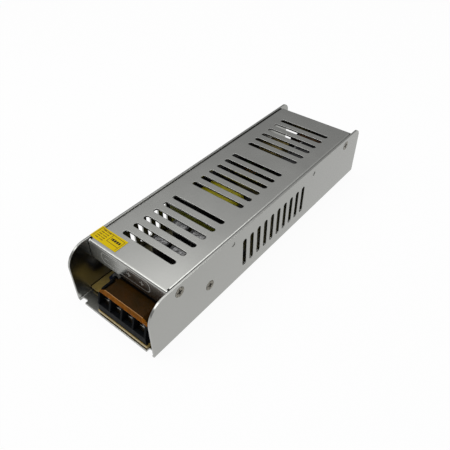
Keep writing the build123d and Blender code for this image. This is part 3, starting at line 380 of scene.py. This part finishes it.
def sheared_edge(tree):
    """Upper rim of the slots' cut faces in the cover's top, rough from the punch, and painted bright as a
    highlight.
    """
    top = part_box("top_cover")[1].z
    facing = node(tree, "ShaderNodeNewGeometry").outputs["True Normal"]
    slope = calc(tree, "ABSOLUTE", node(tree, "ShaderNodeSeparateXYZ", {0: facing}).outputs["Z"])
    upright = calc(tree, "LESS_THAN", slope, UPRIGHT_FACE)
    height = node(tree, "ShaderNodeSeparateXYZ", {0: object_place(tree)}).outputs["Z"]
    rim = calc(tree, "GREATER_THAN", height, top - SLOT_RIM)
    return calc(tree, "MULTIPLY", upright, rim)


def bend_highlight(tree):
    """Bend along the cover's left side, with a painted highlight that fades out from the output end."""
    low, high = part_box("top_cover")
    axes = node(tree, "ShaderNodeSeparateXYZ", {0: object_place(tree)}).outputs
    left = calc(tree, "LESS_THAN", axes["X"], low.x + BEND_SHINE)
    upper = calc(tree, "GREATER_THAN", axes["Z"], high.z - BEND_SHINE)
    bend = calc(tree, "MULTIPLY", left, upper)
    fade = rescale(tree, axes["Y"], low.y, high.y * BEND_SHINE_END, 1.0, BEND_SHINE_REAR)
    return calc(tree, "MULTIPLY", bend, fade)


def painted_groove_shade(tree):
    """Painted shade in the narrow groove between the cover's right bend and the wall, less of it to the
    rear.
    """
    low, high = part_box("top_cover")
    axes = node(tree, "ShaderNodeSeparateXYZ", {0: object_place(tree)}).outputs
    width = rescale(tree, axes["Y"], low.y, high.y, GROOVE_SHADE_WIDTH, GROOVE_SHADE_REAR)
    inward = calc(tree, "SUBTRACT", high.x, axes["X"])
    beside = calc(tree, "LESS_THAN", inward, width)
    upper = calc(tree, "GREATER_THAN", axes["Z"], high.z - GROOVE_SHADE_DEPTH)
    return calc(tree, "MULTIPLY", beside, upper)


def lip_marks(tree):
    """Rounded frame with plain minus and plus signs on the cover's front lip."""
    low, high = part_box("top_cover")
    axes = node(tree, "ShaderNodeSeparateXYZ", {0: object_place(tree)}).outputs
    across = calc(tree, "SUBTRACT", axes["X"], LIP_FRAME_MIDDLE)
    rise = calc(tree, "SUBTRACT", axes["Z"], (low.z + high.z) / 2)
    side = calc(tree, "SUBTRACT", calc(tree, "ABSOLUTE", across), LIP_FRAME_HALF - LIP_FRAME_ROUND)
    tall = calc(tree, "SUBTRACT", calc(tree, "ABSOLUTE", rise), LIP_FRAME_HEIGHT / 2 - LIP_FRAME_ROUND)
    past_side = calc(tree, "MAXIMUM", side, 0.0)
    past_tall = calc(tree, "MAXIMUM", tall, 0.0)
    past_corner = node(tree, "ShaderNodeCombineXYZ", {0: past_side, 1: past_tall}).outputs[0]
    corner = node(tree, "ShaderNodeVectorMath", {0: past_corner}, operation="LENGTH").outputs["Value"]
    inside = calc(tree, "MINIMUM", calc(tree, "MAXIMUM", side, tall), 0.0)
    reach = calc(tree, "ADD", corner, inside)
    line = LIP_LINE / 2
    masks = [band(tree, reach, LIP_FRAME_ROUND - line, LIP_FRAME_ROUND + line)]
    for place, plus in LIP_SIGNS:
        bar = band(tree, axes["X"], place - SIGN_ARM, place + SIGN_ARM)
        masks.append(calc(tree, "MULTIPLY", bar, band(tree, rise, -line, line)))
        if plus:
            post = band(tree, axes["X"], place - line, place + line)
            masks.append(calc(tree, "MULTIPLY", post, band(tree, rise, -SIGN_ARM, SIGN_ARM)))
    on_lip = calc(tree, "LESS_THAN", axes["Y"], low.y + LIP_LINE)
    return calc(tree, "MULTIPLY", either(tree, masks), on_lip)


def mottled(
    name, colour, other, roughness, patch=4.0 * MM, relief=0.01 * MM, metallic=0.0, change=0.12, gloss=0.5
):
    """Moulded, coated or plated surface with a little life in its tone and gloss."""
    material, tree, shader = new_finish(name)
    values = {
        "Colour": shade(colour),
        "Other colour": shade(other),
        "Patch size": patch,
        "Roughness": roughness,
        "Roughness change": change,
    }
    mottle = use_group(tree, SOFT_MOTTLE, values)
    shader.inputs["Metallic"].default_value = metallic
    shader.inputs["Specular IOR Level"].default_value = gloss
    tree.links.new(mottle["Colour"], shader.inputs["Base Color"])
    tree.links.new(mottle["Roughness"], shader.inputs["Roughness"])
    add_bump(tree, shader, mottle["Height"], relief)
    return material


def amber_lid():
    """Dark amber plastic, glossy and partly see-through, with painted light along its lip and a painted
    highlight on its fold.
    """
    material, tree, shader = new_finish("amber_lid")
    values = {
        "Colour": shade((0.080, 0.034, 0.007)),
        "Other colour": shade((0.045, 0.026, 0.008)),
        "Patch size": 6.0 * MM,
        "Roughness": 0.07,
        "Roughness change": 0.04,
    }
    mottle = use_group(tree, SOFT_MOTTLE, values)
    low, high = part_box("output_flip_cover")
    axes = node(tree, "ShaderNodeSeparateXYZ", {0: object_place(tree)}).outputs
    outward = calc(tree, "ABSOLUTE", axes["Y"])
    lip = calc(tree, "GREATER_THAN", outward, -low.y - LID_LIP)
    # Painted light: the lip is lighter than the body, in streaks
    streak = rescale(tree, noise(tree, object_place(tree), LID_LIP_STREAK), 0.35, 0.65, 0.0, 1.0)
    lip_painted_light = blend_colours(tree, streak, shade(LID_LIP_LIT_LOW), shade(LID_LIP_LIT_HIGH))
    tone = blend_colours(tree, lip, mottle["Colour"], lip_painted_light)
    # Painted highlight along the fold at the top of the lip
    fold = band(tree, outward, -low.y - LID_LIP, -low.y - LID_LIP + 2 * LID_SHINE)
    fold = calc(tree, "MULTIPLY", fold, calc(tree, "GREATER_THAN", axes["Z"], high.z - LID_SHINE))
    tone = blend_colours(tree, fold, tone, shade(LID_FOLD_HIGHLIGHT))
    tree.links.new(tone, shader.inputs["Base Color"])
    tree.links.new(mottle["Roughness"], shader.inputs["Roughness"])
    shader.inputs["Transmission Weight"].default_value = 0.5
    shader.inputs["IOR"].default_value = 1.1
    shader.inputs["Specular IOR Level"].default_value = 0.05
    return material


def paper_laminate():
    """Tan board with a faint fibre pattern under a thin coat, with painted shade between its ends."""
    material, tree, shader = new_finish("paper_laminate")
    place = object_place(tree)
    along_board = {"Vector": place, "Scale": (1.0, 0.25, 1.0)}
    fibre_place = node(tree, "ShaderNodeMapping", along_board).outputs[0]
    fibre = noise(tree, fibre_place, BOARD_FIBRE, detail=4.0, rough=0.65)
    cloud = noise(tree, place, BOARD_CLOUD, detail=2.0)
    weave = rescale(tree, fibre, 0.35, 0.65, 0.0, 1.0)
    colour = blend_colours(tree, weave, shade((0.44, 0.31, 0.075)), shade((0.54, 0.39, 0.11)))
    from_middle = calc(tree, "ABSOLUTE", node(tree, "ShaderNodeSeparateXYZ", {0: place}).outputs["Y"])
    # Painted shade over the middle of the board, fading out toward both ends
    painted_shade = rescale(tree, from_middle, BOARD_SHADE_WITHIN, BOARD_LIT_PAST, 1.0, 0.0)
    colour = blend_colours(tree, painted_shade, colour, shade(BOARD_SHADE_TONE))
    tree.links.new(colour, shader.inputs["Base Color"])
    tree.links.new(rescale(tree, cloud, 0.3, 0.7, 0.3, 0.45), shader.inputs["Roughness"])
    shader.inputs["Coat Weight"].default_value = 0.25
    add_bump(tree, shader, fibre, 0.01 * MM)
    return material


def printed_sticker():
    """Yellow paper with plain rules, rows of dashes and a row of bold bars in place of words."""
    material, tree, shader = new_finish("printed_sticker")
    low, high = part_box("front_sticker")
    middle = (low + high) / 2
    half_x = (high.x - low.x) / 2 - STICKER_MARGIN
    half_y = (high.y - low.y) / 2 - STICKER_MARGIN
    place = node(
        tree,
        "ShaderNodeMapping",
        {"Vector": object_place(tree), "Location": (-middle.x, -middle.y, 0.0)},
    ).outputs[0]
    turn = {"Vector": place, "Rotation": (0.0, 0.0, STICKER_TURN)}
    turned = node(tree, "ShaderNodeMapping", turn).outputs[0]
    axes = node(tree, "ShaderNodeSeparateXYZ", {0: turned}).outputs
    across, along = axes["X"], axes["Y"]

    def field(left, right, front, back):
        """One inside a rectangle of the print, and zero elsewhere."""
        return calc(tree, "MULTIPLY", band(tree, across, left, right), band(tree, along, front, back))

    box = field(-half_x, half_x, -half_y, half_y)
    inner = field(-half_x + RULE_WIDTH, half_x - RULE_WIDTH, -half_y, half_y - RULE_WIDTH)
    outline = calc(tree, "SUBTRACT", box, inner)
    split = CELL_LEFT * half_x
    shelf = CELL_FRONT * half_y
    rules = [
        outline,
        field(split, split + RULE_WIDTH, shelf, half_y),
        field(split, half_x, shelf, shelf + RULE_WIDTH),
    ]
    only_across = node(tree, "ShaderNodeMapping", {"Vector": turned, "Scale": (1.0, 0.0, 0.0)}).outputs[0]
    dash_inputs = {"Vector": only_across, "Scale": 1.0 / WORD_LENGTH, "Detail": 1.0}
    dashes = node(tree, "ShaderNodeTexNoise", dash_inputs).outputs[0]
    dashes = calc(tree, "GREATER_THAN", dashes, 0.46)
    row_pitch = 2 * half_y / WORD_ROWS
    rows = calc(tree, "PINGPONG", calc(tree, "ADD", along, half_y), row_pitch / 2)
    rows = calc(tree, "GREATER_THAN", rows, 0.3 * row_pitch)
    gap = 4 * RULE_WIDTH
    text_area = field(-half_x + gap, split - gap, -half_y * 0.9, half_y * 0.9)
    rules.append(calc(tree, "MULTIPLY", calc(tree, "MULTIPLY", dashes, rows), text_area))
    letter = calc(tree, "PINGPONG", across, BOLD_BAR)
    cell_x = (split + half_x) / 2
    cell_y = (shelf + half_y) / 2
    reach = BOLD_REACH * (half_x - split)
    rise = BOLD_HEIGHT * half_y
    bold = field(cell_x - reach, cell_x + reach, cell_y - rise, cell_y + rise)
    bold = calc(tree, "MULTIPLY", calc(tree, "GREATER_THAN", letter, 0.2 * BOLD_BAR), bold)
    cloud = noise(tree, place, 5.0 * MM)
    paper = blend_colours(tree, cloud, shade((0.75, 0.54, 0.002)), shade((0.82, 0.60, 0.003)))
    colour = blend_colours(tree, either(tree, rules), paper, shade(FINE_INK))
    colour = blend_colours(tree, bold, colour, shade(BOLD_INK))
    tree.links.new(colour, shader.inputs["Base Color"])
    shader.inputs["Roughness"].default_value = 0.55
    shader.inputs["Specular IOR Level"].default_value = 0.1
    add_bump(tree, shader, noise(tree, place, 0.3 * MM), 0.01 * MM)
    return material


FINISHES = {
    "chassis_sheet": sheet_metal(
        "chassis_sheet", (0.352, 0.354, 0.336),
        roughness=0.23, streaks=0.05, clouds=0.10,
    ),
    "cover_sheet": sheet_metal(
        "cover_sheet", (0.345, 0.347, 0.330),
        roughness=0.24, streaks=0.05, clouds=0.08, marks=lip_marks, painted_light=painted_groove_shade,
    ),
    "sticker": printed_sticker(),
    "screw_steel": mottled(
        "screw_steel", (0.32, 0.30, 0.25), (0.03, 0.027, 0.02),
        roughness=0.3, patch=0.8 * MM, metallic=1.0,
    ),
    "standoff_steel": mottled(
        "standoff_steel", (0.5, 0.5, 0.5), (0.4, 0.4, 0.4),
        roughness=0.35, patch=1.0 * MM, metallic=1.0,
    ),
    "board_laminate": paper_laminate(),
    "black_film": mottled("black_film", (0.012, 0.012, 0.012), (0.02, 0.02, 0.02), roughness=0.6),
    "barrier_film": mottled(
        "barrier_film", (0.22, 0.235, 0.015), (0.27, 0.28, 0.025),
        roughness=0.5, patch=3.0 * MM, gloss=0.2,
    ),
    "terminal_moulding": mottled(
        "terminal_moulding", (0.004, 0.005, 0.006), (0.007, 0.008, 0.009),
        roughness=0.5, patch=2.0 * MM, gloss=0.03,
    ),
    # Plating mottled between near white and near black: the pale patches are painted glints, the dark
    # ones painted shade in the bays
    "terminal_plating": mottled(
        "terminal_plating", (0.75, 0.74, 0.70), (0.03, 0.03, 0.03),
        roughness=0.24, patch=1.1 * MM, metallic=1.0,
    ),
    # Contact metal near black: painted shade in the bays of the terminal block
    "contact_metal": mottled(
        "contact_metal", (0.035, 0.03, 0.022), (0.02, 0.017, 0.012),
        roughness=0.35, patch=1.5 * MM, metallic=1.0,
    ),
    "amber_plastic": amber_lid(),
    "dark_ferrite": mottled(
        "dark_ferrite", (0.006, 0.006, 0.006), (0.010, 0.010, 0.010),
        roughness=0.65, patch=1.0 * MM, relief=0.03 * MM, gloss=0.15,
    ),
    "green_ferrite": mottled(
        "green_ferrite", (0.02, 0.045, 0.012), (0.03, 0.06, 0.018),
        roughness=0.45, patch=1.0 * MM, relief=0.02 * MM,
    ),
    "winding_tape": mottled(
        "winding_tape", (0.47, 0.42, 0.008), (0.54, 0.47, 0.012),
        roughness=0.32, patch=3.0 * MM, gloss=0.25,
    ),
    "former_plastic": mottled(
        "former_plastic", (0.008, 0.008, 0.008), (0.012, 0.012, 0.012),
        roughness=0.5, gloss=0.2,
    ),
    "enamelled_copper": mottled(
        "enamelled_copper", (0.17, 0.08, 0.02), (0.11, 0.05, 0.013),
        roughness=0.3, patch=2.0 * MM, metallic=1.0,
    ),
    "can_aluminium": mottled(
        "can_aluminium", (0.34, 0.34, 0.34), (0.10, 0.10, 0.10),
        roughness=0.32, patch=1.4 * MM, metallic=1.0,
    ),
    "black_sleeve": mottled(
        "black_sleeve", (0.012, 0.012, 0.014), (0.018, 0.018, 0.02), roughness=0.28
    ),
    "film_box": mottled(
        "film_box", (0.33, 0.26, 0.085), (0.40, 0.31, 0.10),
        roughness=0.4, gloss=0.25,
    ),
    "bar_aluminium": mottled(
        "bar_aluminium", (0.6, 0.6, 0.61), (0.5, 0.5, 0.51),
        roughness=0.35, metallic=1.0,
    ),
    "thermal_pad": mottled("thermal_pad", (0.3, 0.3, 0.29), (0.36, 0.36, 0.34), roughness=0.7),
    "black_epoxy": mottled(
        "black_epoxy", (0.016, 0.016, 0.018), (0.026, 0.026, 0.028),
        roughness=0.45, patch=1.0 * MM,
    ),
    "green_disc": mottled("green_disc", (0.03, 0.07, 0.03), (0.05, 0.1, 0.05), roughness=0.4),
    "blue_disc": mottled("blue_disc", (0.02, 0.09, 0.32), (0.03, 0.12, 0.38), roughness=0.25),
    "fuse_body": mottled("fuse_body", (0.74, 0.72, 0.66), (0.66, 0.64, 0.58), roughness=0.25),
    "trimmer_blue": mottled(
        "trimmer_blue", (0.004, 0.009, 0.03), (0.006, 0.012, 0.04), roughness=0.35
    ),
    "trimmer_white": mottled(
        "trimmer_white", (0.42, 0.41, 0.38), (0.10, 0.10, 0.10),
        roughness=0.4, patch=1.2 * MM,
    ),
}
for part in frame["record"]["subparts"]:
    frame["nodes"][part["node"]].material_slots[0].material = FINISHES[part["material_slot"]]


# Helpers for modelling
def deselect():
    """Leave edit mode with nothing selected."""
    if bpy.context.object and bpy.context.object.mode != "OBJECT":
        bpy.ops.object.mode_set(mode="OBJECT")
    bpy.ops.object.select_all(action="DESELECT")


def finish_piece(piece, name, slot, body="case"):
    """Apply the piece's place to its mesh, give it its finish and let it ride on its body."""
    deselect()
    piece.select_set(True)
    bpy.context.view_layer.objects.active = piece
    if piece.type != "MESH":
        bpy.ops.object.convert(target="MESH")
        piece = bpy.context.object
    bpy.ops.object.transform_apply(location=True, rotation=True, scale=True)
    piece.name = name
    piece.data.materials.clear()
    piece.data.materials.append(FINISHES[slot])
    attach(piece, body)
    return piece


def join_pieces(pieces):
    """Make one object of several meshes."""
    deselect()
    for piece in pieces:
        piece.select_set(True)
    bpy.context.view_layer.objects.active = pieces[0]
    if len(pieces) > 1:
        bpy.ops.object.join()
    return bpy.context.object


# Wire wound round the ring cores, turn by turn
def ring_turn(inner, outer, bottom, top, wire):
    """Points of one turn round a ring's section, each a distance from the ring's axis and a height."""
    lift = wire / 2
    corners = [
        (outer, bottom, -90, 0),
        (outer, top, 0, 90),
        (inner, top, 90, 180),
        (inner, bottom, 180, 270),
    ]
    points = []
    for reach, height, start, end in corners:
        for step in range(4):
            angle = math.radians(start + (end - start) * step / 3)
            points.append((reach + lift * math.cos(angle), height + lift * math.sin(angle)))
    return points


def wound_ring(core, name, wire, turns, sectors):
    """Wire round each ring of a core node, over sectors given as start and sweep in degrees."""
    low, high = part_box(core)
    tall = high.z - low.z
    width = high.y - low.y
    pieces = []
    for centre_x in sorted({round(low.x + width / 2, 6), round(high.x - width / 2, 6)}):
        centre = Vector((centre_x, (low.y + high.y) / 2, low.z))
        inner = RING_BORES[core]
        section = ring_turn(inner, width / 2, 0.0, tall, wire)
        for start, sweep in sectors:
            path = bpy.data.curves.new(name, "CURVE")
            path.dimensions = "3D"
            path.bevel_depth = wire / 2
            path.bevel_resolution = 2
            spline = path.splines.new("POLY")
            total = turns * len(section) + 1
            spline.points.add(total - 1)
            for index in range(total):
                reach, height = section[index % len(section)]
                turn = math.radians(start + sweep * index / (total - 1))
                point = centre + Vector((reach * math.cos(turn), reach * math.sin(turn), height))
                spline.points[index].co = (*point, 1.0)
            wound = bpy.data.objects.new(name, path)
            bpy.context.scene.collection.objects.link(wound)
            deselect()
            wound.select_set(True)
            bpy.context.view_layer.objects.active = wound
            bpy.ops.object.convert(target="MESH")
            pieces.append(bpy.context.object)
    piece = join_pieces(pieces)
    bpy.ops.object.shade_smooth()
    return finish_piece(piece, name, "enamelled_copper")


output_wire = wound_ring(
    "output_choke_cores", "output_choke_wire", wire=0.9 * MM, turns=14, sectors=[(10, 340)]
)
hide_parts("output_choke_windings")
line_wire = wound_ring(
    "line_choke_core", "line_choke_wire", wire=0.95 * MM, turns=11, sectors=[(12, 156), (192, 156)]
)
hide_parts("line_choke_windings")


# Floor, light and camera
def seen_rays(tree, extra_rays):
    """One for the camera's rays and those of the listed kinds, and zero for all others."""
    rays = node(tree, "ShaderNodeLightPath").outputs
    seen = rays["Is Camera Ray"]
    for ray in extra_rays:
        seen = calc(tree, "MAXIMUM", seen, rays[ray])
    return seen


def pale_floor():
    """Wide floor that looks white and still takes a soft shadow."""
    deselect()
    bpy.ops.mesh.primitive_plane_add(size=FLOOR_SIZE, location=(0.0, 0.0, -FLOOR_DROP))
    floor = bpy.context.object
    floor.name = "floor"
    material = bpy.data.materials.new("floor_white")
    material.use_nodes = True
    tree = material.node_tree
    tree.nodes.clear()
    matt = node(tree, "ShaderNodeBsdfDiffuse", {"Color": shade(FLOOR_WHITE)})
    glow = node(tree, "ShaderNodeEmission", {"Color": shade((1.0, 1.0, 1.0)), "Strength": FLOOR_GLOW})
    seen = seen_rays(tree, ["Is Glossy Ray", "Is Transmission Ray"])
    share = calc(tree, "MULTIPLY", seen, FLOOR_GLOW_SHARE)
    mixed = node(tree, "ShaderNodeMixShader", {0: share, 1: matt.outputs[0], 2: glow.outputs[0]})
    node(tree, "ShaderNodeOutputMaterial", {"Surface": mixed.outputs[0]})
    floor.data.materials.append(material)


def studio_world():
    """White to the camera and through the lids; to all else a sky that is brighter overhead."""
    world = bpy.data.worlds.new("studio")
    bpy.context.scene.world = world
    world.use_nodes = True
    tree = world.node_tree
    tree.nodes.clear()
    place = node(tree, "ShaderNodeTexCoord").outputs["Generated"]
    height = node(tree, "ShaderNodeSeparateXYZ", {0: place}).outputs["Z"]
    ramp = node(tree, "ShaderNodeValToRGB", {0: height})
    while len(ramp.color_ramp.elements) < len(SKY_LEVELS):
        ramp.color_ramp.elements.new(0.5)
    for element, (position, level) in zip(ramp.color_ramp.elements, SKY_LEVELS):
        element.position = position
        element.color = (level, level, level * SKY_BLUE, 1.0)
    seen = seen_rays(tree, ["Is Transmission Ray"])
    matt = node(tree, "ShaderNodeLightPath").outputs["Is Diffuse Ray"]
    level = rescale(tree, matt, 0.0, 1.0, 1.0, SKY_ON_MATT)
    colour = blend_colours(tree, seen, ramp.outputs[0], shade((1.0, 1.0, 1.0)))
    sky = node(tree, "ShaderNodeBackground", {"Color": colour, "Strength": level})
    node(tree, "ShaderNodeOutputWorld", {"Surface": sky.outputs[0]})


def area_light(name, place, target, size, power):
    """Soft square lamp aimed at a point."""
    data = bpy.data.lights.new(name, "AREA")
    data.shape = "SQUARE"
    data.size = size
    data.energy = power
    lamp = bpy.data.objects.new(name, data)
    bpy.context.scene.collection.objects.link(lamp)
    lamp.location = place
    lamp.rotation_euler = (Vector(target) - Vector(place)).to_track_quat("-Z", "Y").to_euler()


def photo_camera():
    """Camera at the photograph's place, with its small tilt."""
    across = Vector((math.cos(CAMERA_AZIMUTH), math.sin(CAMERA_AZIMUTH), 0.0))
    back = Vector((
        math.sin(CAMERA_AZIMUTH) * math.cos(CAMERA_ELEVATION),
        -math.cos(CAMERA_AZIMUTH) * math.cos(CAMERA_ELEVATION),
        math.sin(CAMERA_ELEVATION),
    ))
    rise = back.cross(across)
    right = across * math.cos(CAMERA_ROLL) + rise * math.sin(CAMERA_ROLL)
    up = rise * math.cos(CAMERA_ROLL) - across * math.sin(CAMERA_ROLL)
    data = bpy.data.cameras.new("camera")
    data.sensor_width = CAMERA_SENSOR
    data.lens = CAMERA_LENS
    data.clip_start = 0.01
    camera = bpy.data.objects.new("camera", data)
    bpy.context.scene.collection.objects.link(camera)
    place = back * CAMERA_DISTANCE + right * CAMERA_SIDE + up * CAMERA_RISE
    camera.matrix_world = Matrix((
        (right.x, up.x, back.x, place.x),
        (right.y, up.y, back.y, place.y),
        (right.z, up.z, back.z, place.z),
        (0.0, 0.0, 0.0, 1.0),
    ))
    bpy.context.scene.camera = camera


pale_floor()
studio_world()
area_light("overhead", place=(-0.25, 0.05, 0.75), target=(0.0, 0.0, 0.0), size=0.55, power=0.75)
area_light("front_window", place=(-0.375, -0.40, 0.576), target=(0.0, -0.02, 0.02), size=0.32, power=0.9)
area_light("side_window", place=(0.06, 0.30, 0.74), target=(0.0, 0.0, 0.02), size=0.34, power=0.9)
photo_camera()
bpy.context.scene.view_settings.view_transform = "Standard"
